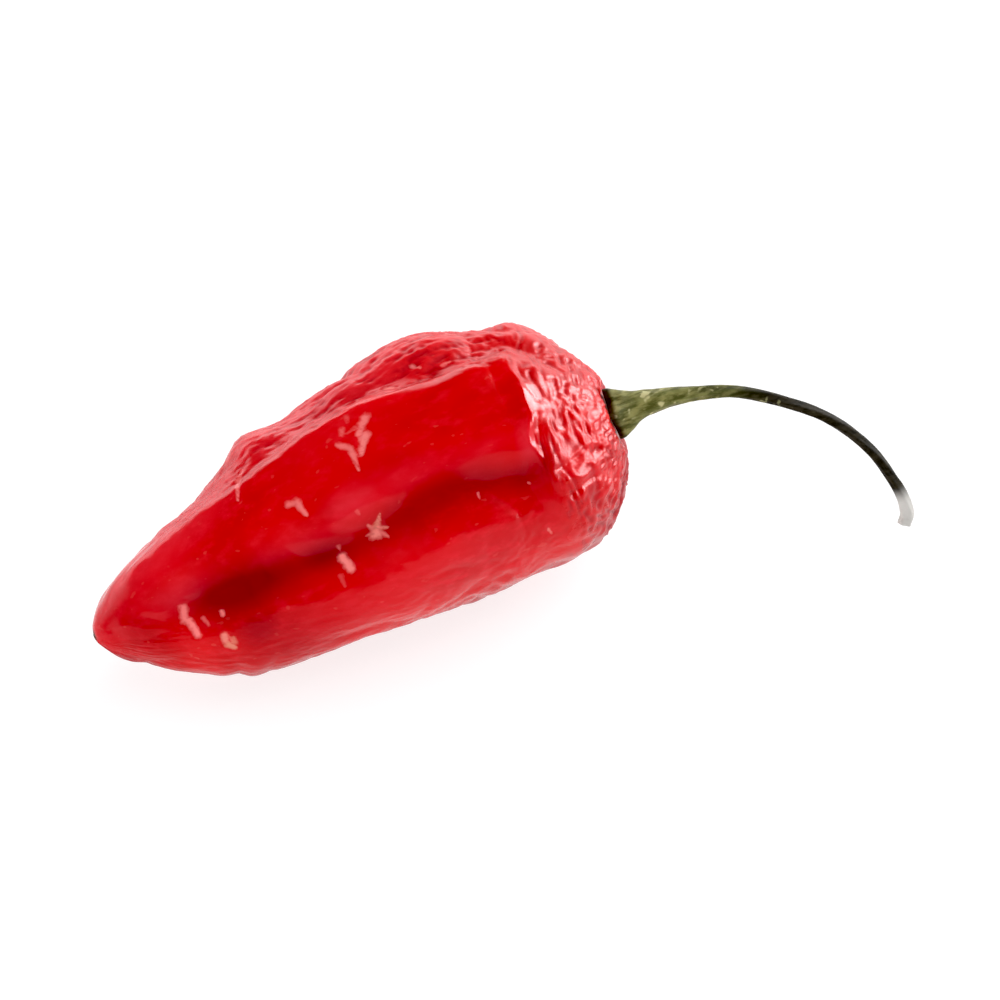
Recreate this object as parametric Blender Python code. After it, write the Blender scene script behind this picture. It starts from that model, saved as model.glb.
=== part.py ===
"""A chilli pepper as picked, lying on a table: its wrinkled red pod, and the green calyx and
stalk that grew as one piece. +X runs along the pod from its tip to its stalk, +Z is up, and
the table is at Z = 0.

    blender --background --python part.py
"""

from math import atan2, cos, exp, hypot, pi, radians, sin

import bmesh
import bpy
from mathutils import Vector, noise

MM = 0.001

# The pod before it is bent: a body turned about X, as (place along it, radius).
POD_PROFILE = (
    (0.8, 0.0),
    (1.2, 1.4),
    (2.6, 3.2),
    (5.5, 5.5),
    (10.8, 8.0),
    (17.8, 10.8),
    (25.8, 12.9),
    (34.8, 14.6),
    (44.8, 15.0),
    (51.8, 14.5),
    (57.5, 13.9),
    (61.3, 11.1),
    (63.6, 7.5),
    (64.5, 5.4),
    (64.7, 4.8),
)
# The shallow dish at its end that the calyx sits in.
DISH_PROFILE = (
    (64.7, 4.8),
    (64.65, 4.1),
    (64.45, 3.6),
    (64.4, 2.6),
    (64.4, 0.0),
)
POD_LENGTH = POD_PROFILE[-1][0] * MM
SEAT_X = DISH_PROFILE[-1][0] * MM
POD_AROUND = 84
POD_ALONG = 56
DISH_ALONG = 7

# The pod's middle line as it lies: (place along it, sideways, height above the table).
POD_SPINE = (
    (0.0, 1.6, 7.4),
    (11.0, 0.2, 9.4),
    (23.0, -0.6, 12.0),
    (35.0, 0.2, 14.4),
    (46.5, 0.8, 15.0),
    (52.0, 0.5, 15.3),
    (57.5, -0.6, 16.3),
    (65.3, -3.1, 19.2),
)
# This brings the middle of the whole pepper's footprint to the origin.
TIP_X = -49.0 * MM
SIDE_Y = 1.2 * MM

# Angles round the pod: 0 faces -Y, the near side, 90 faces up and 180 faces +Y.
# Lengthwise folds: angle at the tip, angle at the stalk end, height, half-width, start, end.
POD_FOLDS = (
    (41.0, 31.0, -1.5, 4.0, 8.0, 62.0),  # the deep valley down the near side
    (100.0, 80.0, 0.5, 2.4, 26.0, 60.0),  # the crest above it
    (112.0, 95.0, -0.8, 2.6, 26.0, 62.0),  # the shallow valley behind the crest
    (170.0, 165.0, -1.3, 4.0, 14.0, 64.0),  # the far side's valley
    (240.0, 230.0, -0.8, 4.0, 20.0, 62.0),  # the valley low on the far side
)
FOLD_WAVE, FOLD_SWAY = 3.7 * MM, 0.07

# Single bumps and dents: place along the pod, angle, length, width, height.
POD_BUMPS = (
    (26.0, 131.0, 3.4, 5.0, 1.7),
    (17.0, 134.0, 4.5, 6.0, -0.3),
    (45.0, 124.0, 10.0, 7.0, 1.0),
    (33.5, 128.0, 4.5, 6.0, -0.8),
    (14.0, 320.0, 7.0, 6.0, 0.9),
    (3.5, 20.0, 4.0, 4.0, -0.5),
    (38.0, 60.0, 12.0, 6.0, 0.5),
    (30.0, 33.0, 3.5, 3.0, -0.7),
    (47.0, 30.0, 5.0, 3.0, -0.6),
    (52.0, 200.0, 9.0, 7.0, 0.9),
    (34.0, 206.0, 6.0, 5.0, -0.7),
    (22.0, 196.0, 5.0, 6.0, 0.8),
)

# The skin's soft swellings, and its crumpled bumps with creases between them.
SWELL_HEIGHT, SWELL_SIZE = 0.55 * MM, 11.0 * MM
CRUMPLE_HEIGHT, CRUMPLE_SIZE = 0.55 * MM, 4.6 * MM
# The crumpling is less on the part of the back that faces up and near.
SMOOTH_AT_TIP, SMOOTH_AT_STALK, SMOOTH_HALF = radians(72), radians(58), radians(27)
SMOOTH_SHARE = 0.75
# The relief starts this far from the calyx's middle.
CALYX_CLEAR = 4.4 * MM

# The stalk's middle line from the calyx's seat: (along, sideways, up).
STALK_ROUTE = (
    (0.0, 0.0, 0.0),
    (4.0, -1.5, 1.4),
    (8.2, -3.1, 2.2),
    (12.9, -5.0, 2.2),
    (17.3, -7.4, 1.2),
    (21.7, -9.4, -1.1),
    (25.0, -10.9, -3.8),
    (27.4, -12.1, -6.7),
    (29.3, -13.1, -9.9),
    (30.9, -14.0, -13.4),
    (31.7, -14.5, -16.6),
    (31.2, -14.9, -17.9),
)
# Its radius at a distance from the seat: the calyx's trumpet, the thin stalk, the flared end.
STALK_RADIUS = (
    (0.0, 2.85),
    (0.7, 2.8),
    (1.6, 2.4),
    (3.2, 1.75),
    (5.5, 1.3),
    (9.0, 0.95),
    (14.0, 0.78),
    (34.0, 0.72),
    (39.0, 0.80),
    (44.0, 0.95),
)
STALK_AROUND = 25
STALK_ALONG = 50
CALYX_TEETH, TOOTH_SHARE, TOOTH_LENGTH = 5, 0.12, 2.5 * MM
SEAT_GAP = 0.3 * MM


def between(table, at):
    """The values at a place, on a smooth curve through a table of (place, values...)."""
    last = len(table) - 2
    span = max(0, min(last, sum(1 for row in table[1:-1] if at > row[0])))
    before, start, end, after = (
        table[max(0, min(len(table) - 1, span + step))] for step in (-1, 0, 1, 2)
    )
    width = end[0] - start[0]
    t = max(0.0, min(1.0, (at - start[0]) / width))
    found = []
    for k in range(1, len(start)):
        slope_in = (end[k] - before[k]) / (end[0] - before[0]) * width
        slope_out = (after[k] - start[k]) / (after[0] - start[0]) * width
        found.append(
            start[k] * (1 + 2 * t) * (1 - t) ** 2
            + slope_in * t * (1 - t) ** 2
            + end[k] * t * t * (3 - 2 * t)
            + slope_out * t * t * (t - 1)
        )
    return found


def smooth_line(points, count):
    """Evenly spaced points along a smooth curve through the given points."""
    points = [Vector(p) for p in points]
    ends = [2 * points[0] - points[1], *points, 2 * points[-1] - points[-2]]
    fine = []
    for a, b, c, d in zip(ends, ends[1:], ends[2:], ends[3:]):
        for step in range(24):
            t = step / 24
            bend = 2 * b + (c - a) * t + (2 * a - 5 * b + 4 * c - d) * t**2
            fine.append((bend + (3 * b - a - 3 * c + d) * t**3) / 2)
    fine.append(points[-1])
    reach = [0.0]
    for p, q in zip(fine, fine[1:]):
        reach.append(reach[-1] + (q - p).length)
    line, k = [], 0
    for step in range(count + 1):
        want = reach[-1] * step / count
        while k < len(fine) - 2 and reach[k + 1] < want:
            k += 1
        share = (want - reach[k]) / (reach[k + 1] - reach[k])
        line.append(fine[k].lerp(fine[k + 1], min(1.0, share)))
    return line


def step_up(value, low, high):
    """0 below low, 1 above high, and smooth between."""
    t = max(0.0, min(1.0, (value - low) / (high - low)))
    return t * t * (3 - 2 * t)


def turn_apart(a, b):
    """The angle from b to a, within half a turn each way."""
    return (a - b + pi) % (2 * pi) - pi


def fold_height(x, radius, angle):
    height = 0.0
    for at_tip, at_stalk, rise, width, start, end in POD_FOLDS:
        middle = radians(at_tip + (at_stalk - at_tip) * x / POD_LENGTH)
        middle += FOLD_SWAY * sin(x / FOLD_WAVE + at_tip)
        away = turn_apart(angle, middle) * radius / (width * MM)
        reach = step_up(x, (start - 6) * MM, (start + 6) * MM)
        reach *= 1 - step_up(x, (end - 6) * MM, (end + 4) * MM)
        height += rise * MM * reach * exp(-away * away)
    return height


def bump_height(x, radius, angle):
    height = 0.0
    for at, turned, length, width, rise in POD_BUMPS:
        along = (x - at * MM) / (length * MM)
        around = turn_apart(angle, radians(turned)) * radius / (width * MM)
        height += rise * MM * exp(-along * along - around * around)
    return height


def crumpling(x, angle):
    """How far the skin is crumpled at a place: 1 is fully, and less on the smooth back."""
    middle = SMOOTH_AT_TIP + (SMOOTH_AT_STALK - SMOOTH_AT_TIP) * x / POD_LENGTH
    away = turn_apart(angle, middle) / SMOOTH_HALF
    before_shoulder = 1 - step_up(x, 48 * MM, 60 * MM)
    return 1 - SMOOTH_SHARE * before_shoulder * exp(-(away**4))


def crumple_height(point):
    """Rounded bumps with creases between them, drawn askew so that no two are alike."""
    slow = point / (2 * CRUMPLE_SIZE)
    askew = [noise.noise(slow + Vector((0, 0, 17 * k))) for k in range(3)]
    across = Vector((point.x * 0.8, point.y, point.z)) / CRUMPLE_SIZE + 0.6 * Vector(askew)
    return (abs(noise.noise(across)) * 2 - 0.5) * CRUMPLE_HEIGHT


def pod_relief(point):
    """How far the skin stands out of the turned body at a point of it."""
    radius = hypot(point.y, point.z)
    angle = atan2(point.z, -point.y)
    height = fold_height(point.x, radius, angle) + bump_height(point.x, radius, angle)
    height += noise.noise(point / SWELL_SIZE + Vector((3.1, 0.0, 7.7))) * SWELL_HEIGHT
    height += crumple_height(point) * crumpling(point.x, angle)
    clear = CALYX_CLEAR if point.x > POD_LENGTH / 2 else 0.0
    return height * step_up(radius, clear, clear + 4 * MM)


def lay_pod(point):
    """A point of the straight pod, where the bent pod has it, with the table's flat below."""
    along = point.x / MM
    side, up = between(POD_SPINE, along)
    side_on, up_on = between(POD_SPINE, along + 0.5)
    heading = Vector((0.5, side_on - side, up_on - up)).normalized()
    across = heading.cross(Vector((0, 0, 1))).normalized()
    over = across.cross(heading)
    place = Vector((TIP_X + along * MM, SIDE_Y + side * MM, up * MM))
    place += over * point.z - across * point.y
    place.z = max(place.z, 0.0)
    return place


def turned_body(profile, around):
    """A closed body turned about X from points of (place along X, radius)."""
    bm = bmesh.new()
    verts = [bm.verts.new((p[0], 0, p[1])) for p in profile]
    edges = [bm.edges.new(pair) for pair in zip(verts, verts[1:])]
    bmesh.ops.spin(
        bm,
        geom=verts + edges,
        cent=(0, 0, 0),
        axis=(1, 0, 0),
        angle=2 * pi,
        steps=around,
        use_merge=True,
    )
    bmesh.ops.remove_doubles(bm, verts=bm.verts, dist=0.01 * MM)
    bmesh.ops.recalc_face_normals(bm, faces=bm.faces)
    bm.normal_update()
    return bm


def skin(name, colour, roughness):
    material = bpy.data.materials.new(name)
    material.use_nodes = True
    shader = material.node_tree.nodes["Principled BSDF"]
    shader.inputs["Base Color"].default_value = (*colour, 1)
    shader.inputs["Roughness"].default_value = roughness
    shader.inputs["Metallic"].default_value = 0
    material.diffuse_color = (*colour, 1)
    return material


def finish(name, bm, material):
    mesh = bpy.data.meshes.new(name)
    bm.to_mesh(mesh)
    bm.free()
    mesh.shade_smooth()
    mesh.materials.append(material)
    piece = bpy.data.objects.new(name, mesh)
    bpy.context.scene.collection.objects.link(piece)
    return piece


def make_pod():
    profile = smooth_line([(x * MM, r * MM, 0) for x, r in POD_PROFILE], POD_ALONG)
    profile += smooth_line([(x * MM, r * MM, 0) for x, r in DISH_PROFILE], DISH_ALONG)[1:]
    bm = turned_body(profile, POD_AROUND)
    raised = [v.co + v.normal * pod_relief(v.co) for v in bm.verts]
    for vert, place in zip(bm.verts, raised):
        vert.co = lay_pod(place)
    return finish("pod", bm, skin("pod_skin", (0.62, 0.01, 0.012), 0.28))


def make_stem():
    """A straight trumpet and stalk, turned like the pod and then bent along its route."""
    seat = lay_pod(Vector((SEAT_X, 0, 0)))
    ahead = (seat - lay_pod(Vector((SEAT_X - 2 * MM, 0, 0)))).normalized()
    start = seat + ahead * SEAT_GAP
    route = smooth_line([start + Vector(p) * MM for p in STALK_ROUTE], STALK_ALONG)
    step = (route[-1] - route[-2]).length

    profile = [(0, 0), (0, STALK_RADIUS[0][1] * MM / 2)]
    for k in range(STALK_ALONG + 1):
        profile.append((k * step, between(STALK_RADIUS, k * step / MM)[0] * MM))
    profile.append((STALK_ALONG * step, 0))
    bm = turned_body(profile, STALK_AROUND)

    side = Vector((0, 0, 1)).cross(ahead)
    frames = []
    for k, place in enumerate(route):
        if k:
            ahead = (route[min(k + 1, STALK_ALONG)] - route[k - 1]).normalized()
        side = (side - ahead * side.dot(ahead)).normalized()
        frames.append((place, side, ahead.cross(side)))

    for vert in bm.verts:
        along, across, over = vert.co
        teeth = cos(CALYX_TEETH * atan2(over, across)) * exp(-along / TOOTH_LENGTH)
        place, side, up = frames[round(along / step)]
        vert.co = place + (side * across + up * over) * (1 + TOOTH_SHARE * teeth)
    return finish("stem", bm, skin("stem_skin", (0.10, 0.16, 0.04), 0.5))


def main():
    for old in list(bpy.data.objects):
        bpy.data.objects.remove(old, do_unlink=True)
    make_pod()
    make_stem()


main()
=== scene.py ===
"""A fresh red chilli pepper lying on a pale floor: its glossy wrinkled pod, and the green calyx
and drying stalk that grew as one piece. +X runs along the pod from its tip to its stalk."""

from math import atan2, cos, exp, hypot, pi, radians, sin

import bmesh
import bpy
from mathutils import Matrix, Vector, noise


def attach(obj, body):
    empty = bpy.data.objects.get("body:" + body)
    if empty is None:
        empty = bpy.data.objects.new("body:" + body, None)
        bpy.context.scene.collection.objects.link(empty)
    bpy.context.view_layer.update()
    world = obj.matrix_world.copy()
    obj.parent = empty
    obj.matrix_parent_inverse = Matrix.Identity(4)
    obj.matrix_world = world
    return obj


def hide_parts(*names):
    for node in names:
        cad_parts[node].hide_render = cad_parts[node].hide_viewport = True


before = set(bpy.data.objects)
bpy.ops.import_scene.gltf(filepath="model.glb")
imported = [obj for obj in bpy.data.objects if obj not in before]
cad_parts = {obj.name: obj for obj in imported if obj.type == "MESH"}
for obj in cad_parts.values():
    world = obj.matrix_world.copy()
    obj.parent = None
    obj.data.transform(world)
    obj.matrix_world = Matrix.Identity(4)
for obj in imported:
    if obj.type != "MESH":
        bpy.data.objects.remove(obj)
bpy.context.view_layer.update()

MM = 0.001

# The grids of the pod and of the stalk: steps round it, steps along it, and in the pod's dish.
POD_GRID, POD_GRID_QUICK = (336, 270, 12), (144, 92, 10)
STALK_GRID, STALK_GRID_QUICK = (60, 420), (24, 130)

# The pod before it is bent, as in the part: a body turned about X, as (place along it, radius),
# in mm.
POD_PROFILE = (
    (0.8, 0.0), (1.2, 1.4), (2.6, 3.2), (5.5, 5.5), (10.8, 8.0), (17.8, 10.8), (25.8, 12.9),
    (34.8, 14.6), (44.8, 15.0), (51.8, 14.5), (57.5, 13.9), (61.3, 11.1), (63.6, 7.5),
    (64.5, 5.4), (64.7, 4.8),
)
# The shallow dish at its end that the calyx sits in.
DISH_PROFILE = ((64.7, 4.8), (64.65, 4.1), (64.45, 3.6), (64.4, 2.6), (64.4, 0.0))
POD_LENGTH = POD_PROFILE[-1][0] * MM
SEAT_X = DISH_PROFILE[-1][0] * MM

# The pod's middle line as it lies: (place along it, sideways, height above the floor).
POD_SPINE = (
    (0.0, 1.6, 7.4), (11.0, 0.2, 9.4), (23.0, -0.6, 12.0), (35.0, 0.2, 14.4),
    (46.5, 0.8, 15.0), (52.0, 0.5, 15.3), (57.5, -0.6, 16.3), (65.3, -3.1, 19.2),
)
TIP_X, SIDE_Y = -49.0 * MM, 1.2 * MM

# Angles round the pod: 0 faces -Y, the near side, 90 faces up and 180 faces +Y.
# Lengthwise folds: angle at the tip, angle at the stalk end, height, half-width, start, end.
POD_FOLDS = (
    (41.0, 31.0, -1.5, 4.0, 8.0, 62.0),  # the deep valley down the near side
    (100.0, 80.0, 0.5, 2.4, 26.0, 60.0),  # the crest above it
    (112.0, 95.0, -0.8, 2.6, 26.0, 62.0),  # the shallow valley behind the crest
    (170.0, 165.0, -1.3, 4.0, 14.0, 64.0),  # the far side's valley
    (240.0, 230.0, -0.8, 4.0, 20.0, 62.0),  # the valley low on the far side
)
FOLD_WAVE, FOLD_SWAY = 3.7 * MM, 0.07

# Single bumps and dents: place along the pod, angle, length, width, height.
POD_BUMPS = (
    (26.0, 131.0, 3.4, 5.0, 1.4), (17.0, 134.0, 4.5, 6.0, -0.3), (45.0, 124.0, 10.0, 7.0, 1.0),
    (33.5, 128.0, 4.5, 6.0, -0.8), (14.0, 320.0, 7.0, 6.0, 0.9), (3.5, 20.0, 4.0, 4.0, -0.5),
    (38.0, 60.0, 12.0, 6.0, 0.5), (30.0, 33.0, 3.5, 3.0, -0.7), (47.0, 30.0, 5.0, 3.0, -0.6),
    (52.0, 200.0, 9.0, 7.0, 0.8), (34.0, 206.0, 6.0, 5.0, -0.7), (22.0, 196.0, 5.0, 6.0, 0.8),
)

# Broad swells and coarse crumpling of the skin: their height and size. The near lobe, the low
# side and the back towards the tip are smoother.
SWELL_HEIGHT, SWELL_SIZE = 0.55 * MM, 11.0 * MM
CRUMPLE_HEIGHT, CRUMPLE_SIZE = 0.55 * MM, 4.6 * MM
SMOOTH_AT_TIP, SMOOTH_AT_STALK, SMOOTH_HALF = radians(76), radians(62), radians(31)
SMOOTH_SHARE = 0.88
LOW_SMOOTH_AT, LOW_SMOOTH_HALF, LOW_SMOOTH_SHARE = radians(5), radians(38), 0.72
BACK_SMOOTH_AT, BACK_SMOOTH_HALF, BACK_SMOOTH_SHARE = radians(115), radians(24), 0.75
# The folds and the relief fade out where the calyx sits.
CALYX_CLEAR, CALYX_FADE = 4.4 * MM, 4.0 * MM
SEAT_CLEAR, SEAT_FADE = 2.8 * MM, 1.4 * MM

# The finer relief: how high each kind of wrinkle stands, and how far the skin lies inside the
# part's own so that they stay within it.
SHOULDER_NET_HEIGHT, BACK_STREAK_HEIGHT, FAINT_STREAK_HEIGHT = 0.25 * MM, 0.13 * MM, 0.045 * MM
CREST_EDGE_HEIGHT, RISE_HEIGHT, KNUCKLE_HEIGHT = 0.28 * MM, 0.70 * MM, 0.85 * MM
SKIN_INSET = 0.20 * MM
# The crest's angle at the tip and at the stalk end, and the angles where the back's streaks end.
CREST_AT_TIP, CREST_AT_STALK = radians(100), radians(80)
BACK_FADES, BACK_ENDS = 3.3, 3.9
# The shoulder's wrinkled skin: where along the pod it starts and is whole, where its net is
# full, and how far its edge wanders.
SHOULDER_START, SHOULDER_WHOLE, NET_FULL = 56.5 * MM, 59.5 * MM, 62.5 * MM
SHOULDER_WANDER, WANDER_SIZE = 3.0 * MM, 7.0 * MM
WRINKLE_SIZE, WRINKLE_BEND = 1.2 * MM, 1.3
# The knuckle that the low lobe ends in: place along the pod, angle, half its length and width.
KNUCKLE_X, KNUCKLE_ANGLE, KNUCKLE_LONG, KNUCKLE_WIDE = 57.0 * MM, radians(28), 2.0 * MM, 2.3 * MM
# The main lobe's slow rise before the shoulder: its middle angle and half its width.
RISE_ANGLE, RISE_HALF = radians(54), radians(31)
CREST_EDGE_HALF = 1.2 * MM
LOW_SIDE_FROM = radians(22)

# Small scratches in the skin: (place along the pod, angle) where each starts and where it ends,
# its half-width at the start and at the end, its depth, and how pale and how ochre it is. The
# pale pink is mostly a painted highlight, the glint off the scratch's edges, and partly its own
# pale scar skin.
POD_SCRATCHES = (
    # a broken V below the crest
    (35.6, 84.5, 34.3, 79.0, 0.42, 0.25, 0.22, 0.85, 0.0),
    (34.7, 77.0, 33.5, 70.0, 0.46, 0.22, 0.25, 0.95, 0.0),
    (32.3, 80.5, 33.0, 75.5, 0.30, 0.28, 0.18, 0.75, 0.0),
    (33.0, 75.5, 32.5, 64.5, 0.34, 0.14, 0.22, 0.80, 0.0),
    (33.4, 85.5, 33.1, 83.5, 0.28, 0.22, 0.12, 0.50, 0.0),
    (34.4, 83.0, 33.4, 82.0, 0.20, 0.12, 0.10, 0.25, 0.0),
    (34.4, 89.5, 34.2, 87.0, 0.22, 0.16, 0.10, 0.25, 0.0),
    # a hook
    (24.9, 69.5, 25.8, 68.0, 0.34, 0.38, 0.20, 0.70, 0.0),
    (25.8, 68.0, 25.9, 60.0, 0.40, 0.20, 0.22, 0.80, 0.0),
    # a star
    (30.9, 32.5, 31.3, 35.5, 0.62, 0.50, 0.35, 0.95, 0.15),
    (30.9, 35.5, 30.5, 40.0, 0.34, 0.12, 0.20, 0.60, 0.10),
    (31.2, 35.5, 32.2, 42.0, 0.42, 0.12, 0.20, 0.45, 0.30),
    (31.5, 34.5, 32.4, 33.0, 0.38, 0.14, 0.20, 0.50, 0.20),
    (31.4, 32.5, 32.0, 28.5, 0.34, 0.14, 0.18, 0.60, 0.05),
    (30.7, 33.0, 29.9, 34.5, 0.30, 0.12, 0.15, 0.45, 0.10),
    (30.3, 49.0, 30.3, 47.0, 0.20, 0.16, 0.06, 0.30, 0.0),
    # an arrow below it
    (26.8, 30.5, 27.1, 22.5, 0.44, 0.42, 0.30, 1.00, 0.05),
    (25.9, 22.0, 25.9, 16.0, 0.24, 0.16, 0.08, 0.20, 0.0),
    (27.0, 37.0, 27.0, 35.0, 0.22, 0.16, 0.10, 0.45, 0.0),
    # a double mark near the tip
    (10.3, 39.0, 9.9, 27.0, 0.44, 0.36, 0.22, 0.80, 0.0),
    (10.4, 25.0, 10.9, 12.0, 0.40, 0.34, 0.25, 0.95, 0.0),
    (11.9, 25.0, 12.3, 18.0, 0.24, 0.16, 0.10, 0.40, 0.0),
    (14.0, 26.0, 14.0, 23.0, 0.26, 0.22, 0.15, 0.75, 0.0),
    # a brown patch with a pink edge
    (13.6, 8.5, 13.5, 3.0, 0.36, 0.32, 0.20, 0.70, 0.25),
    (13.7, 0.5, 14.2, -3.0, 0.38, 0.30, 0.18, 0.35, 0.45),
    (14.3, 1.5, 14.4, 5.5, 0.34, 0.24, 0.12, 0.15, 0.35),
    # single flecks
    (43.1, 30.5, 43.1, 28.5, 0.20, 0.16, 0.12, 0.70, 0.0),
    (53.3, -1.0, 53.7, -3.5, 0.26, 0.20, 0.12, 0.60, 0.10),
    (51.8, 26.0, 52.3, 25.0, 0.18, 0.14, 0.10, 0.45, 0.0),
    (23.1, 106.0, 22.1, 101.0, 0.20, 0.28, 0.10, 0.45, 0.0),
    (22.1, 101.0, 20.8, 87.0, 0.34, 0.12, 0.15, 0.70, 0.0),
    (39.4, 99.0, 40.2, 95.0, 0.34, 0.18, 0.18, 0.75, 0.05),
    (43.2, 104.0, 43.9, 101.0, 0.26, 0.18, 0.15, 0.70, 0.05),
    (36.4, 101.0, 37.1, 99.0, 0.18, 0.14, 0.10, 0.50, 0.0),
    (46.5, 97.0, 47.4, 98.0, 0.24, 0.14, 0.12, 0.60, 0.0),
    # the sides that the photograph doesn't show
    (38.0, 192.0, 39.2, 186.0, 0.45, 0.20, 0.25, 0.70, 0.05),
    (38.2, 194.0, 36.6, 190.0, 0.36, 0.14, 0.20, 0.60, 0.0),
    (20.0, 176.0, 20.8, 170.0, 0.38, 0.16, 0.20, 0.60, 0.35),
    (50.0, 262.0, 51.2, 255.0, 0.40, 0.18, 0.20, 0.70, 0.05),
    (28.0, 232.0, 28.8, 226.0, 0.36, 0.16, 0.18, 0.60, 0.05),
)
# Patches of painted shade, a deeper red, and of painted pink reflection: place along the pod,
# angle, length, width, share.
POD_PAINTED_SHADES = (
    (16.5, 31.0, 5.0, 3.0, 0.75), (17.2, 8.0, 2.6, 3.2, 0.65), (25.5, 38.0, 2.6, 2.0, 0.40),
    (41.0, 33.0, 5.5, 2.2, 0.22), (36.0, 28.0, 3.0, 2.0, 0.15), (5.0, 25.0, 5.0, 6.0, 0.35),
    (34.0, 60.0, 3.0, 2.0, 0.15), (20.0, 352.0, 6.0, 5.0, 0.42), (51.0, 33.0, 3.0, 2.0, 0.20),
)
POD_PAINTED_REFLECTIONS = (
    (11.0, 51.0, 4.0, 2.0, 0.90), (24.0, 47.0, 7.0, 1.8, 0.60), (30.3, 53.0, 3.0, 1.8, 1.00),
    (36.0, 51.0, 5.0, 2.0, 0.60), (44.0, 49.0, 7.0, 1.8, 0.40), (53.6, 44.0, 2.5, 2.2, 1.00),
    (39.0, 2.0, 16.0, 5.5, 0.35), (54.0, 10.0, 5.0, 4.0, 0.30), (12.0, 112.0, 12.0, 5.0, 1.00),
    (34.0, 125.0, 14.0, 7.0, 0.80),
)
# Painted shade: the underside is a deeper red too, from this angle down.
UNDERSIDE_FROM, UNDERSIDE_SHADE = radians(-20), 0.55


def between(table, at):
    """The values at a place, on a smooth curve through a table of (place, values...)."""
    last = len(table) - 2
    span = max(0, min(last, sum(1 for row in table[1:-1] if at > row[0])))
    before, start, end, after = (
        table[max(0, min(len(table) - 1, span + step))] for step in (-1, 0, 1, 2)
    )
    width = end[0] - start[0]
    t = max(0.0, min(1.0, (at - start[0]) / width))
    found = []
    for k in range(1, len(start)):
        slope_in = (end[k] - before[k]) / (end[0] - before[0]) * width
        slope_out = (after[k] - start[k]) / (after[0] - start[0]) * width
        found.append(
            start[k] * (1 + 2 * t) * (1 - t) ** 2
            + slope_in * t * (1 - t) ** 2
            + end[k] * t * t * (3 - 2 * t)
            + slope_out * t * t * (t - 1)
        )
    return found


def smooth_line(points, count):
    """Evenly spaced points along a smooth curve through the given points."""
    points = [Vector(p) for p in points]
    ends = [2 * points[0] - points[1], *points, 2 * points[-1] - points[-2]]
    fine = []
    for a, b, c, d in zip(ends, ends[1:], ends[2:], ends[3:]):
        for step in range(96):
            t = step / 96
            bend = 2 * b + (c - a) * t + (2 * a - 5 * b + 4 * c - d) * t**2
            fine.append((bend + (3 * b - a - 3 * c + d) * t**3) / 2)
    fine.append(points[-1])
    reach = [0.0]
    for p, q in zip(fine, fine[1:]):
        reach.append(reach[-1] + (q - p).length)
    line, k = [], 0
    for step in range(count + 1):
        want = reach[-1] * step / count
        while k < len(fine) - 2 and reach[k + 1] < want:
            k += 1
        share = (want - reach[k]) / (reach[k + 1] - reach[k])
        line.append(fine[k].lerp(fine[k + 1], min(1.0, share)))
    return line


def step_up(value, low, high):
    """0 below low, 1 above high, and smooth between."""
    t = max(0.0, min(1.0, (value - low) / (high - low)))
    return t * t * (3 - 2 * t)


def turn_apart(a, b):
    """The angle from b to a, within half a turn each way."""
    return (a - b + pi) % (2 * pi) - pi


def fold_height(x, radius, angle):
    """How far the lengthwise folds raise the skin at a place; below 0 in a valley."""
    height = 0.0
    for at_tip, at_stalk, rise, width, start, end in POD_FOLDS:
        middle = radians(at_tip + (at_stalk - at_tip) * x / POD_LENGTH)
        middle += FOLD_SWAY * sin(x / FOLD_WAVE + at_tip)
        away = turn_apart(angle, middle) * radius / (width * MM)
        reach = step_up(x, (start - 6) * MM, (start + 6) * MM)
        reach *= 1 - step_up(x, (end - 6) * MM, (end + 4) * MM)
        height += rise * MM * reach * exp(-away * away)
    return height


def bump_height(x, radius, angle):
    """How far the single bumps and dents raise the skin at a place."""
    height = 0.0
    for at, turned, length, width, rise in POD_BUMPS:
        along = (x - at * MM) / (length * MM)
        if abs(along) < 4:
            around = turn_apart(angle, radians(turned)) * radius / (width * MM)
            height += rise * MM * exp(-along * along - around * around)
    return height


def crumpling(x, angle):
    """How far the skin is crumpled at a place: 1 is fully, and less where it lies smooth."""
    before_shoulder = 1 - step_up(x, 54 * MM, 60 * MM)
    middle = SMOOTH_AT_TIP + (SMOOTH_AT_STALK - SMOOTH_AT_TIP) * x / POD_LENGTH
    back = exp(-((turn_apart(angle, middle) / SMOOTH_HALF) ** 6))
    near = exp(-((turn_apart(angle, LOW_SMOOTH_AT) / LOW_SMOOTH_HALF) ** 4))
    behind = exp(-((turn_apart(angle, BACK_SMOOTH_AT) / BACK_SMOOTH_HALF) ** 4))
    behind *= 1 - step_up(x, 26 * MM, 34 * MM)
    smooth = max(SMOOTH_SHARE * back, LOW_SMOOTH_SHARE * near, BACK_SMOOTH_SHARE * behind)
    return 1 - smooth * before_shoulder - 0.35 * (1 - before_shoulder)


def crumple_height(point):
    """Rounded bumps with creases between them, drawn askew so that no two are alike."""
    slow = point / (2 * CRUMPLE_SIZE)
    askew = [noise.noise(slow + Vector((0, 0, 17 * k))) for k in range(3)]
    across = Vector((point.x * 0.8, point.y, point.z)) / CRUMPLE_SIZE + 0.6 * Vector(askew)
    return (abs(noise.noise(across)) * 2 - 0.5) * CRUMPLE_HEIGHT


def lay_pod(point):
    """A point of the straight pod, where the bent pod has it, with the floor's flat below."""
    along = point.x / MM
    side, up = between(POD_SPINE, along)
    side_on, up_on = between(POD_SPINE, along + 0.5)
    heading = Vector((0.5, side_on - side, up_on - up)).normalized()
    across = heading.cross(Vector((0, 0, 1))).normalized()
    over = across.cross(heading)
    place = Vector((TIP_X + along * MM, SIDE_Y + side * MM, up * MM))
    place += over * point.z - across * point.y
    place.z = max(place.z, 0.0)
    return place


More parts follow.
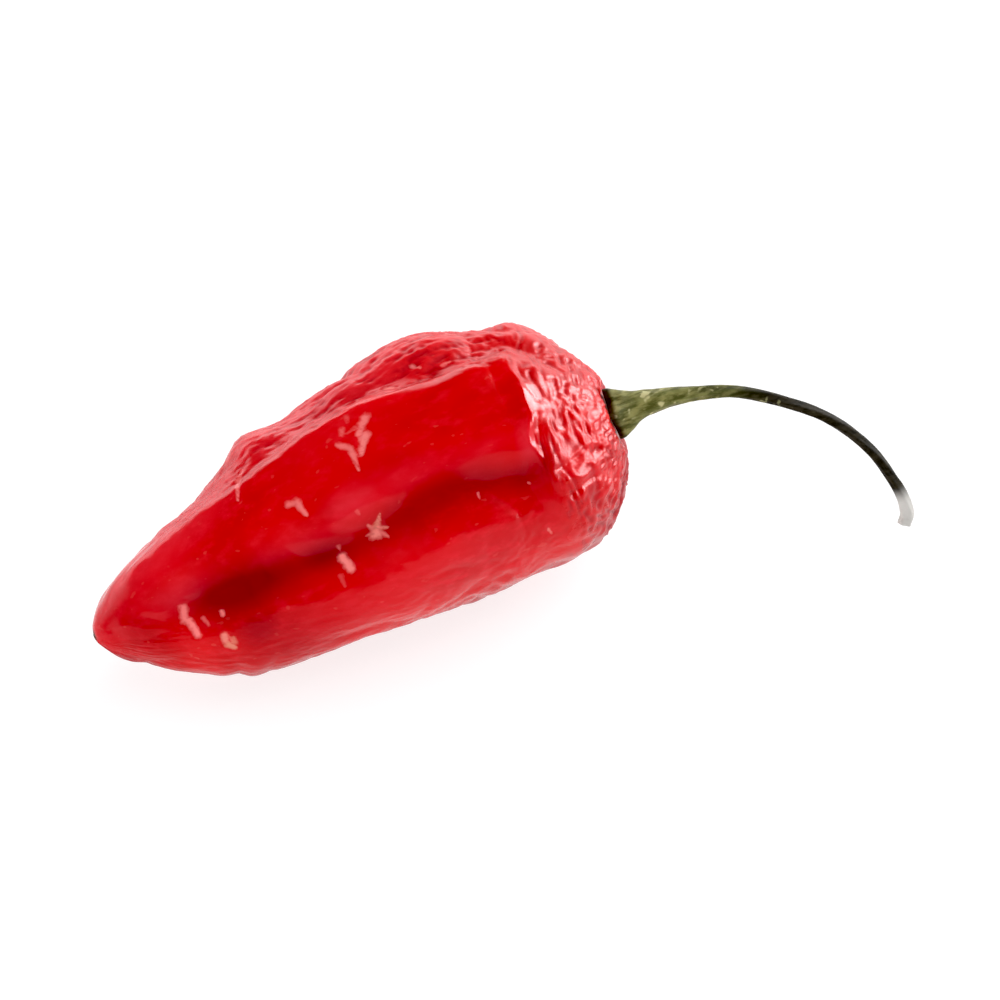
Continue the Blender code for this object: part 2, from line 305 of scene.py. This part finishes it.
def scratches_at(x, radius, angle):
    """The relief of the scratches at a place, how far off the nearest one is in its own
    half-widths, and how pale and how ochre that one is."""
    height, nearest, colours = 0.0, 3.0, (0.0, 0.0)
    along = x / MM
    for x_start, turn_start, x_end, turn_end, *rest in POD_SCRATCHES:
        if abs(along - (x_start + x_end) / 2) > 3:
            continue
        start = Vector((x_start, turn_apart(radians(turn_start), angle) * radius / MM))
        run = Vector((x_end - x_start, radians(turn_end - turn_start) * radius / MM))
        here = Vector((along, 0)) - start
        share = max(0.0, min(1.0, here.dot(run) / run.length_squared))
        wide_start, wide_end, depth, pale, ochre = rest
        away = (here - run * share).length / (wide_start + (wide_end - wide_start) * share)
        if away > 3:
            continue
        height += 0.6 * depth * MM * (0.3 * exp(-((away - 2) ** 2) * 2) - exp(-away * away * 0.7))
        if away < nearest:
            nearest, colours = away, (pale, ochre)
    return height, nearest, *colours


def patches_at(patches, x, radius, angle):
    """How strongly a place lies in the patches of a table."""
    share = 0.0
    for at, turned, length, width, strength in patches:
        along = (x / MM - at) / length
        if abs(along) < 3:
            around = turn_apart(angle, radians(turned)) * radius / MM / width
            share = max(share, strength * exp(-along * along - around * around))
    return share


def streaks(x, angle, along, around, seed):
    """Ridge lines that run along the pod: 1 on a ridge's top, down to about -0.2 between."""
    place = Vector((x / along, cos(angle) * around, sin(angle) * around + seed))
    return 1 - 2.4 * abs(noise.noise(place))


def crest_angle(x):
    """The angle of the crest at a place along the pod."""
    return CREST_AT_TIP + (CREST_AT_STALK - CREST_AT_TIP) * x / POD_LENGTH


def back_share(x, angle):
    """How fully a place has the back's streaks, which start behind the crest."""
    turned = angle % (2 * pi)
    share = step_up(turned, crest_angle(x) - 0.02, crest_angle(x) + 0.12)
    share *= 1 - step_up(turned, BACK_FADES, BACK_ENDS)
    return share * (step_up(x, 8 * MM, 14 * MM) + step_up(x, 26 * MM, 34 * MM)) / 2


def edge_wander(x, angle):
    """How far along the pod the shoulder's edge lies from its middle place. It starts sooner
    low on the near side and from the crest round the back."""
    place = Vector((x / WANDER_SIZE, (angle % (2 * pi)) * 4.5, 4.0))
    wander = SHOULDER_WANDER * noise.noise(place)
    wander -= 2.2 * MM * step_up(-turn_apart(angle, radians(74)), 0.0, 0.60)
    return wander - 2.4 * MM * step_up(turn_apart(angle, radians(70)), 0.0, 0.26)


def shoulder_wrinkles(arc, angle):
    """Wrinkles round the shoulder with a net across them: about 1 on top, below 0 between."""
    around_pod = Vector((0.0, cos(angle), sin(angle)))
    askew = noise.noise(Vector((arc / (4 * MM), 0, 3.3)) + 2.5 * around_pod)
    wavy = Vector((arc / WRINKLE_SIZE + WRINKLE_BEND * askew, 0, 9.1))
    round_lines = 1 - 2.4 * abs(noise.noise(wavy + 2.6 * around_pod))
    net = 1 - 2.4 * abs(noise.noise(wavy * 0.8 + 8.0 * around_pod + Vector((5, 0, 0))))
    return 0.60 * round_lines + 0.50 * net


def fine_relief(point, radius, angle):
    """The wrinkles too small for the part: their height, the painted shade in their creases
    and how coarse they are.
    """
    x = point.x
    # The wrinkles follow the skin where it turns in towards the calyx.
    arc = x + 0.8 * max(0.0, 14 * MM - radius) if x > 50 * MM else x
    wander = edge_wander(x, angle)
    at_shoulder = step_up(arc - wander, SHOULDER_START, SHOULDER_WHOLE)
    before = 1 - at_shoulder
    behind_crest = back_share(x, angle)
    lower = step_up(-turn_apart(angle, LOW_SIDE_FROM), 0.0, 0.35)

    off_knuckle = turn_apart(angle, KNUCKLE_ANGLE) * radius / KNUCKLE_WIDE
    knuckle = exp(-(((x - KNUCKLE_X) / KNUCKLE_LONG) ** 2) - off_knuckle**2)
    netted = 0.25 + 0.75 * step_up(arc - wander, 59 * MM, NET_FULL)
    netted *= 1 - 0.8 * knuckle
    shoulder = shoulder_wrinkles(arc, angle)
    height = SHOULDER_NET_HEIGHT * shoulder * at_shoulder * netted + KNUCKLE_HEIGHT * knuckle

    back = streaks(x, angle, 6 * MM, 11.0, 5.0) + 0.8 * streaks(x, angle, 3 * MM, 22.0, 11.0)
    back += 0.9 * streaks(x, angle, 1.2 * MM, 26.0, 31.0)
    height += BACK_STREAK_HEIGHT * (back - 1.0) * behind_crest * before
    faint = streaks(x, angle, 2.6 * MM, 11.0, 23.0) + 0.6 * streaks(x, angle, 1.2 * MM, 20.0, 3.0)
    faint *= (0.3 * crumpling(x, angle) + lower) * (1 - behind_crest) * before
    height += FAINT_STREAK_HEIGHT * faint

    # The crest runs on towards the tip as a low edge.
    past_crest = turn_apart(angle, crest_angle(x) + 0.04) * radius / CREST_EDGE_HALF
    edge = exp(-past_crest * past_crest) * step_up(x, 3 * MM, 8 * MM)
    height += CREST_EDGE_HEIGHT * edge * (1 - step_up(x, 34 * MM, 46 * MM))
    upper = exp(-((turn_apart(angle, RISE_ANGLE) / RISE_HALF) ** 4))
    rise = step_up(x, 41 * MM, 57 * MM) * (1 - step_up(x - wander, 56.2 * MM, 59.4 * MM))
    height += RISE_HEIGHT * rise * upper

    # Painted shade in the creases between the wrinkles.
    crease_shade = at_shoulder * max(0.0, min(0.35, 0.55 - 1.2 * shoulder))
    crease_shade += behind_crest * before * max(0.0, min(0.45, 0.7 - 0.6 * back))
    coarse = max(0.75 * at_shoulder, behind_crest, 0.5 * lower)
    return height - SKIN_INSET, crease_shade, coarse


def turned_body(profile, around):
    """A closed body turned about X from points of (place along X, radius)."""
    bm = bmesh.new()
    verts = [bm.verts.new((p[0], 0, p[1])) for p in profile]
    edges = [bm.edges.new(pair) for pair in zip(verts, verts[1:])]
    bmesh.ops.spin(
        bm,
        geom=verts + edges,
        cent=(0, 0, 0),
        axis=(1, 0, 0),
        angle=2 * pi,
        steps=around,
        use_merge=True,
    )
    bmesh.ops.remove_doubles(bm, verts=bm.verts, dist=0.001 * MM)
    bmesh.ops.recalc_face_normals(bm, faces=bm.faces)
    bm.normal_update()
    return bm


def finish(name, bm, material):
    """A smooth-shaded object at the origin, made from a finished bmesh."""
    mesh = bpy.data.meshes.new(name)
    bm.to_mesh(mesh)
    bm.free()
    mesh.shade_smooth()
    mesh.materials.append(material)
    piece = bpy.data.objects.new(name, mesh)
    bpy.context.scene.collection.objects.link(piece)
    return piece


BUMP_DEPTH = 0.12 * MM


class Value:
    """A node's socket, with Python arithmetic that adds Math nodes."""

    def __init__(self, finish, socket):
        self.finish, self.socket = finish, socket

    def math(self, operation, *others):
        values = dict(enumerate((self, *others)))
        return self.finish.node("ShaderNodeMath", {"operation": operation}, values)

    def __add__(self, other):
        return self.math("ADD", other)

    def __sub__(self, other):
        return self.math("SUBTRACT", other)

    def __rsub__(self, other):
        return self.finish.node("ShaderNodeMath", {"operation": "SUBTRACT"}, {0: other, 1: self})

    def __mul__(self, other):
        return self.math("MULTIPLY", other)

    __radd__, __rmul__ = __add__, __mul__

    def clamped(self):
        return self.finish.node("ShaderNodeClamp", {}, {0: self})

    def ramp(self, low, high):
        """0 where the value is at low, 1 where it is at high, and smooth between."""
        settings = {"interpolation_type": "SMOOTHSTEP"}
        return self.finish.node("ShaderNodeMapRange", settings, {0: self, 1: low, 2: high})


class Finish:
    """A node tree being built, for a material or for the light around the scene."""

    def __init__(self, tree):
        self.tree = tree
        tree.nodes.clear()

    def node(self, kind, settings=None, inputs=None, output=0):
        """Any node: its type, its settings, and the values or links of its sockets."""
        made = self.tree.nodes.new(kind)
        for name, value in (settings or {}).items():
            setattr(made, name, value)
        for name, value in (inputs or {}).items():
            if isinstance(value, Value):
                self.tree.links.new(value.socket, made.inputs[name])
            else:
                made.inputs[name].default_value = value
        return Value(self, made.outputs[output]) if len(made.outputs) else made

    def mix(self, share, first, second):
        """A colour from first, at share 0, to second, at share 1."""
        colours = [c if isinstance(c, Value) else (*c, 1) for c in (first, second)]
        settings = {"data_type": "RGBA"}
        return self.node("ShaderNodeMix", settings, {0: share, 6: colours[0], 7: colours[1]}, 2)

    def noise(self, place, size, detail=2.0, roughness=0.5):
        """A soft random pattern, about 0 to 1, whose patches are about this size in metres."""
        values = {"Vector": place, "Scale": 1 / size, "Detail": detail, "Roughness": roughness}
        return self.node("ShaderNodeTexNoise", {}, values)

    def attribute(self, name):
        """A number that the mesh keeps at each of its points."""
        return self.node("ShaderNodeAttribute", {"attribute_name": name}, output="Fac")

    def place(self, stretch=(1, 1, 1)):
        """The piece's own coordinates in metres, stretched for a pattern that has a grain."""
        own = self.node("ShaderNodeTexCoord", output="Object")
        return self.node("ShaderNodeMapping", {}, {"Vector": own, "Scale": stretch})

    def bump(self, height, strength):
        """A normal that follows a height pattern."""
        values = {"Strength": strength, "Distance": BUMP_DEPTH, "Height": height}
        return self.node("ShaderNodeBump", {}, values)

    def surface(self, inputs):
        shader = self.node("ShaderNodeBsdfPrincipled", {}, inputs)
        self.node("ShaderNodeOutputMaterial", {}, {"Surface": shader})


def new_finish(name):
    """A new material, and its node tree to build the finish in."""
    material = bpy.data.materials.new(name)
    material.use_nodes = True
    return material, Finish(material.node_tree)


# Colours of the pod's skin, with painted shade, painted reflection and painted glint among them.
DEEP_RED, RIPE_RED, BRIGHT_RED = (0.57, 0.010, 0.011), (0.70, 0.013, 0.015), (0.78, 0.022, 0.030)
SHADED_RED, SPECK_RED, REFLECTION_PINK = (0.26, 0.004, 0.012), (0.80, 0.10, 0.08), (0.78, 0.038, 0.055)
SCRATCH_GLINT_PINK, SCRATCH_OCHRE, SCAR_BROWN = (1.0, 0.25, 0.24), (0.80, 0.42, 0.26), (0.09, 0.035, 0.02)
GLOSS_PINK = (1.0, 0.50, 0.52, 1.0)
FLESH_REACH = (1.0, 0.08, 0.05)

# Colours of the calyx and the stalk, with the painted shade at the calyx's rim.
DARK_GREEN, LIGHT_GREEN, RIB_GREEN = (0.085, 0.090, 0.024), (0.27, 0.265, 0.095), (0.20, 0.22, 0.08)
DARK_BROWN, LIGHT_BROWN, CALYX_RIM_SHADE = (0.014, 0.012, 0.008), (0.033, 0.027, 0.017), (0.020, 0.012, 0.006)
FLECK_CREAM, CUT_GREY = (0.52, 0.50, 0.25), (0.62, 0.60, 0.57)
SKIN_IOR = 1.45


def ripe_skin():
    """Glossy, waxy red skin: painted shade, a deeper red, in the folds, creases and underside,
    painted pink reflection beside them, a fine mottle, and scratches with ragged edges, some
    ochre and some pale pink, the pink mostly a painted glint."""
    material, look = new_finish("ripe_red_skin")
    place = look.place((0.55, 1, 1))
    clouds = look.noise(place, 7 * MM, 2.0)
    mottle = look.noise(place, 1.3 * MM, 3.0, 0.6)
    painted_shade = look.attribute("painted_shade")
    painted_reflection = look.attribute("painted_reflection")
    ragged = look.noise(look.place(), 0.6 * MM, 2.0)
    marked = (look.attribute("off_mark") + ragged * 1.3).ramp(2.25, 0.85)
    pale = look.attribute("pale") * marked
    ochre = look.attribute("ochre") * marked
    scar = look.attribute("tip_scar")
    coarse = look.attribute("coarse")

    colour = look.mix(clouds.ramp(0.35, 0.65), DEEP_RED, RIPE_RED)
    colour = look.mix(mottle.ramp(0.45, 0.75) * 0.6, colour, BRIGHT_RED)
    specks = look.noise(place, 0.8 * MM, 1.0).ramp(0.69, 0.76)
    colour = look.mix(specks * 0.30, colour, SPECK_RED)
    # Painted reflection: pink where the skin would mirror the pale floor and backdrop.
    colour = look.mix(painted_reflection * (mottle * 0.8 + 0.4), colour, REFLECTION_PINK)
    # Painted shade: deeper red in the folds, the creases and on the underside.
    colour = look.mix(painted_shade * 0.95, colour, SHADED_RED)
    # Painted highlight: the scratches' pale pink is mostly the glint off their edges.
    colour = look.mix(pale, colour, SCRATCH_GLINT_PINK)
    colour = look.mix(ochre, colour, SCRATCH_OCHRE)
    colour = look.mix(scar, colour, SCAR_BROWN)

    grain = look.noise(place, 0.45 * MM, 2.0, 0.6)
    dimples = look.noise(place, 1.6 * MM, 2.0, 0.5)
    height = (grain * 0.5 + dimples) * (coarse * 1.6 + 0.4)
    look.surface({
        "Base Color": colour,
        "Roughness": mottle * 0.08 + coarse * 0.16 + scar * 0.4 + 0.12,
        "IOR": SKIN_IOR,
        "Specular IOR Level": 0.37,
        "Specular Tint": GLOSS_PINK,
        "Subsurface Weight": 0.08,
        "Subsurface Radius": FLESH_REACH,
        "Subsurface Scale": 1.2 * MM,
        "Normal": look.bump(height, 0.22),
    })
    return material


def stalk_skin():
    """Green calyx with cream flecks and painted shade at its rim, drying to brown along the
    stalk, pale grey where cut.
    """
    material, look = new_finish("green_stalk_skin")
    place = look.place()
    along = look.attribute("along")
    rib = look.attribute("rib")
    flecks = look.noise(look.place((0.8, 1, 1)), 0.85 * MM, 1.0, 0.5)
    streaks = look.noise(look.place((0.3, 1, 1)), 0.7 * MM, 3.0, 0.6)
    patches = look.noise(place, 3.0 * MM, 2.0)

    green = look.mix(streaks.ramp(0.35, 0.65), DARK_GREEN, LIGHT_GREEN)
    brown = look.mix(streaks.ramp(0.4, 0.6), DARK_BROWN, LIGHT_BROWN)
    drying = (along + patches * 8).ramp(11.0, 23.0)
    colour = look.mix(drying, green, brown)
    colour = look.mix(rib * (1 - drying) * 0.35, colour, RIB_GREEN)
    young = flecks.ramp(0.56, 0.74) * (1 - along.ramp(4.0, 10.0))
    older = flecks.ramp(0.62, 0.72) * (1 - along.ramp(14.0, 26.0))
    colour = look.mix((young * 0.6 + older * 0.6).clamped(), colour, FLECK_CREAM)
    # Painted shade: the calyx's rim darkens where it meets the pod.
    colour = look.mix(along.ramp(1.1, 0.4) * 0.9, colour, CALYX_RIM_SHADE)
    end = along.ramp(39.5, 42.2)
    colour = look.mix(end * 0.92, colour, CUT_GREY)
    grain = look.noise(look.place((0.4, 1, 1)), 0.25 * MM, 3.0, 0.7)
    look.surface({
        "Base Color": colour,
        "Roughness": streaks * 0.25 + drying * 0.2 + 0.40,
        "IOR": SKIN_IOR,
        "Specular IOR Level": 0.17,
        "Normal": look.bump(grain, 0.5),
    })
    return material


def make_pod(around, along, dish_along):
    """The pod's skin: a turned body, raised point by point and then bent as it lies."""
    profile = smooth_line([(x * MM, r * MM, 0) for x, r in POD_PROFILE], along)
    profile += smooth_line([(x * MM, r * MM, 0) for x, r in DISH_PROFILE], dish_along)[1:]
    bm = turned_body(profile, around)
    painted_shade, painted_reflection, off_mark, pale, ochre, scar, coarse = (
        bm.verts.layers.float.new(name)
        for name in ("painted_shade", "painted_reflection", "off_mark", "pale", "ochre", "tip_scar", "coarse")
    )
    raised = []
    for vert in bm.verts:
        point = vert.co.copy()
        radius, angle = hypot(point.y, point.z), atan2(point.z, -point.y)
        folds = fold_height(point.x, radius, angle)
        broad = folds + bump_height(point.x, radius, angle)
        broad += noise.noise(point / SWELL_SIZE + Vector((3.1, 0.0, 7.7))) * SWELL_HEIGHT
        broad += crumple_height(point) * crumpling(point.x, angle)
        fine, crease_shade, vert[coarse] = fine_relief(point, radius, angle)
        mark, vert[off_mark], vert[pale], vert[ochre] = scratches_at(point.x, radius, angle)
        at_calyx = point.x > POD_LENGTH / 2
        clear = CALYX_CLEAR if at_calyx else 0.0
        share = step_up(radius, clear, clear + CALYX_FADE)
        close = step_up(radius, SEAT_CLEAR, SEAT_CLEAR + SEAT_FADE) if at_calyx else 1.0
        raised.append(point + vert.normal * (broad * share + (fine + mark) * close))

        # Painted shade: darker red in the fold valleys, the listed patches, the wrinkles' creases and
        # the underside.
        valley = max(0.0, -folds / MM) / 1.5
        shade = patches_at(POD_PAINTED_SHADES, point.x, radius, angle)
        beneath = UNDERSIDE_SHADE * step_up(-turn_apart(angle, UNDERSIDE_FROM), 0.0, radians(30))
        vert[painted_shade] = min(1.0, 0.64 * valley**3 + shade + crease_shade + beneath)
        # Painted reflection: pink patches where the skin would mirror the floor and backdrop.
        vert[painted_reflection] = patches_at(POD_PAINTED_REFLECTIONS, point.x, radius, angle)
        vert[scar] = 1 - step_up(radius, 0.4 * MM, 1.0 * MM) if point.x < 3 * MM else 0.0
    for vert, place in zip(bm.verts, raised):
        vert.co = lay_pod(place)
    return finish("pod_skin", bm, ripe_skin())


# The stalk's middle line from the calyx's seat: (along, sideways, up).
STALK_ROUTE = (
    (0.0, 0.0, 0.0), (4.0, -1.5, 1.4), (8.2, -3.1, 2.2), (12.9, -5.0, 2.2), (17.3, -7.4, 1.2),
    (21.7, -9.4, -1.1), (25.0, -10.9, -3.8), (27.4, -12.1, -6.7), (29.3, -13.1, -9.9),
    (30.9, -14.0, -13.4), (31.7, -14.5, -16.6), (31.2, -14.9, -17.9),
)
# Its radius at a distance from the seat: the calyx's trumpet, the thin stalk, the flared end.
STALK_RADIUS = (
    (0.0, 2.85), (0.7, 2.8), (1.6, 2.4), (3.2, 1.75), (5.5, 1.3), (9.0, 0.91), (14.0, 0.71),
    (34.0, 0.63), (39.0, 0.71), (44.0, 0.88),
)
# The calyx has five blunt teeth, which fade along it into ribs that twist round the stalk.
CALYX_TEETH, TOOTH_SHARE, TOOTH_LENGTH = 5, 0.12, 2.5 * MM
STALK_RIBS, RIB_SHARE, TWIST_LENGTH = 5, 0.07, 9 * MM
KNOT_SHARE, KNOT_LENGTH, GRAIN_SHARE, GRAIN_LENGTH = 0.05, 2.2 * MM, 0.03, 0.8 * MM
DRY_SHRINK, DRY_FROM, DRY_TO = 0.09, 34 * MM, 39 * MM
SEAT_GAP = 0.3 * MM


def make_stalk(around, along_count):
    """A straight trumpet and stalk, turned like the pod and then bent along its route."""
    seat = lay_pod(Vector((SEAT_X, 0, 0)))
    ahead = (seat - lay_pod(Vector((SEAT_X - 2 * MM, 0, 0)))).normalized()
    start = seat + ahead * SEAT_GAP
    route = smooth_line([start + Vector(p) * MM for p in STALK_ROUTE], along_count)
    step = (route[-1] - route[-2]).length

    profile = [(0, 0), (0, STALK_RADIUS[0][1] * MM / 2)]
    for k in range(along_count + 1):
        profile.append((k * step, between(STALK_RADIUS, k * step / MM)[0] * MM))
    profile.append((along_count * step, STALK_RADIUS[-1][1] * MM / 2))
    profile.append((along_count * step, 0))
    bm = turned_body(profile, around)
    along_layer = bm.verts.layers.float.new("along")
    rib_layer = bm.verts.layers.float.new("rib")

    side = Vector((0, 0, 1)).cross(ahead)
    frames = []
    for k, place in enumerate(route):
        if k:
            ahead = (route[min(k + 1, along_count)] - route[k - 1]).normalized()
        side = (side - ahead * side.dot(ahead)).normalized()
        frames.append((place, side, ahead.cross(side)))

    for vert in bm.verts:
        along, across, over = vert.co
        turned = atan2(over, across)
        teeth = cos(CALYX_TEETH * turned) * exp(-along / TOOTH_LENGTH)
        twist = turned + along / TWIST_LENGTH
        ribs = cos(STALK_RIBS * twist + 1.2 * noise.noise(Vector((along / (7 * MM), 0.4, 0))))
        knots = noise.noise(Vector((cos(turned), sin(turned), along / KNOT_LENGTH)))
        rough = noise.noise(Vector((3 * cos(turned), 3 * sin(turned), along / GRAIN_LENGTH)))
        swell = 1 + TOOTH_SHARE * teeth + RIB_SHARE * ribs * step_up(along, 1 * MM, 6 * MM)
        swell += KNOT_SHARE * knots + GRAIN_SHARE * rough
        swell -= DRY_SHRINK * step_up(along, DRY_FROM, DRY_TO)
        place, side, up = frames[min(along_count, round(along / step))]
        vert.co = place + (side * across + up * over) * swell
        vert[along_layer] = along / MM
        vert[rib_layer] = max(0.0, ribs) * step_up(along, 0.5 * MM, 4 * MM)
    return finish("calyx_and_stalk", bm, stalk_skin())


# The camera: its direction and distance from the pepper, what it aims at, and how wide it sees.
VIEW_AZIMUTH, VIEW_ELEVATION, VIEW_DISTANCE = radians(-27), radians(42), 0.6
VIEW_AIM = Vector((1.35, -1.42, 11.3)) * MM
VIEW_WIDTH = 115 * MM
SENSOR_WIDTH = 36

# Soft panels: name, direction from the pepper, distance, width, height and power. Gloss panels
# only show as reflections in the skin, and fill panels only give plain light.
GLOSS_PANELS = (
    ("side_gloss", (0.90, 0.05, 0.43), 1.0, 0.50, 0.52, 19.5),
    ("low_gloss", (0.90, -0.40, 0.13), 1.0, 0.36, 0.22, 8.0),
)
FILL_PANELS = (
    ("side_fill", (0.80, 0.10, 0.60), 1.2, 1.2, 1.0, 8.0),
    ("end_fill", (1.0, 0.25, 0.12), 1.2, 1.0, 0.6, 4.5),
    ("overhead_fill", (0.0, 0.0, 1.0), 1.4, 1.8, 1.8, 10.0),
    ("front_fill", (-0.766, -0.732, 0.50), 1.4, 1.8, 1.0, 12.5),
)
# The backdrop's glow, the height where it ends, and the light that the dark room still gives.
BACKDROP_GLOW, BACKDROP_TOP, BACKDROP_FULL, ROOM_GLOW = 3.7, 0.43, 0.37, 0.03
FLOOR_SIZE, FLOOR_GLOW = 3.0, 0.78
BLACK_LEVEL = 0.018


def turned_to(place, right, up, back):
    """A camera's or a panel's place, from its own axes."""
    turn = Matrix((right, up, back)).transposed().to_4x4()
    return Matrix.Translation(place) @ turn


def make_camera():
    back = Vector((
        sin(VIEW_AZIMUTH) * cos(VIEW_ELEVATION),
        -cos(VIEW_AZIMUTH) * cos(VIEW_ELEVATION),
        sin(VIEW_ELEVATION),
    ))
    right = Vector((cos(VIEW_AZIMUTH), sin(VIEW_AZIMUTH), 0))
    data = bpy.data.cameras.new("camera")
    data.sensor_width = SENSOR_WIDTH
    data.lens = SENSOR_WIDTH * VIEW_DISTANCE / VIEW_WIDTH
    data.clip_start = 0.01
    camera = bpy.data.objects.new("camera", data)
    place = VIEW_AIM + back * VIEW_DISTANCE
    camera.matrix_world = turned_to(place, right, back.cross(right), back)
    bpy.context.scene.collection.objects.link(camera)
    bpy.context.scene.camera = camera


def make_panel(name, towards, distance, width, height, power, glossy):
    """A soft panel light that faces the pepper from a direction."""
    back = Vector(towards).normalized()
    right = Vector((0, 0, 1)).cross(back)
    right = right.normalized() if right.length > 0.01 else Vector((1, 0, 0))
    data = bpy.data.lights.new(name, "AREA")
    data.shape = "RECTANGLE"
    data.size, data.size_y, data.energy = width, height, power
    panel = bpy.data.objects.new(name, data)
    panel.matrix_world = turned_to(VIEW_AIM + back * distance, right, back.cross(right), back)
    panel.visible_glossy = glossy
    panel.visible_diffuse = not glossy
    panel.visible_camera = False
    bpy.context.scene.collection.objects.link(panel)


def make_floor():
    """A plain pale floor that glows a little, as a light table does."""
    bm = bmesh.new()
    bmesh.ops.create_grid(bm, x_segments=1, y_segments=1, size=FLOOR_SIZE)
    material, look = new_finish("pale_floor")
    tones = look.noise(look.place(), 0.3, 1.0)
    look.surface({
        "Base Color": look.mix(tones, (0.31, 0.31, 0.315), (0.33, 0.33, 0.335)),
        "Roughness": 0.9,
        "Specular IOR Level": 0.1,
        "Emission Color": (1.0, 1.0, 1.0, 1.0),
        "Emission Strength": FLOOR_GLOW,
    })
    floor = finish("floor", bm, material)


def make_surroundings():
    """A pale backdrop low on the far side, and a dark room above and behind the camera."""
    far = Vector((-sin(VIEW_AZIMUTH), cos(VIEW_AZIMUTH), 0))
    world = bpy.data.worlds.new("studio")
    world.use_nodes = True
    bpy.context.scene.world = world
    look = Finish(world.node_tree)
    towards = look.node("ShaderNodeTexCoord", output="Generated")
    height = look.node("ShaderNodeSeparateXYZ", {}, {0: towards}, "Z")
    facing = look.node(
        "ShaderNodeVectorMath", {"operation": "DOT_PRODUCT"}, {0: towards, 1: far}, "Value"
    )
    glow = facing.ramp(-0.35, 0.35) * height.ramp(BACKDROP_TOP, BACKDROP_FULL)
    strength = glow * BACKDROP_GLOW + ROOM_GLOW
    background = look.node("ShaderNodeBackground", {}, {"Strength": strength})
    look.node("ShaderNodeOutputWorld", {}, {"Surface": background})


def set_tones():
    """Plain display colours, with the darkest tones taken down to black."""
    view = bpy.context.scene.view_settings
    view.view_transform = "Standard"
    view.use_curve_mapping = True
    view.curve_mapping.black_level = (BLACK_LEVEL, BLACK_LEVEL, BLACK_LEVEL)
    view.curve_mapping.update()


def main():
    make_camera()
    pod = make_pod(*POD_GRID)
    stalk = make_stalk(*STALK_GRID)
    for piece, node, slot in ((pod, "pod", "pod_skin"), (stalk, "stem", "stem_skin")):
        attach(piece, "root")
        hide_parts(node)

    make_floor()
    make_surroundings()
    for panels, glossy in ((GLOSS_PANELS, True), (FILL_PANELS, False)):
        for panel in panels:
            make_panel(*panel, glossy)
    set_tones()


main()
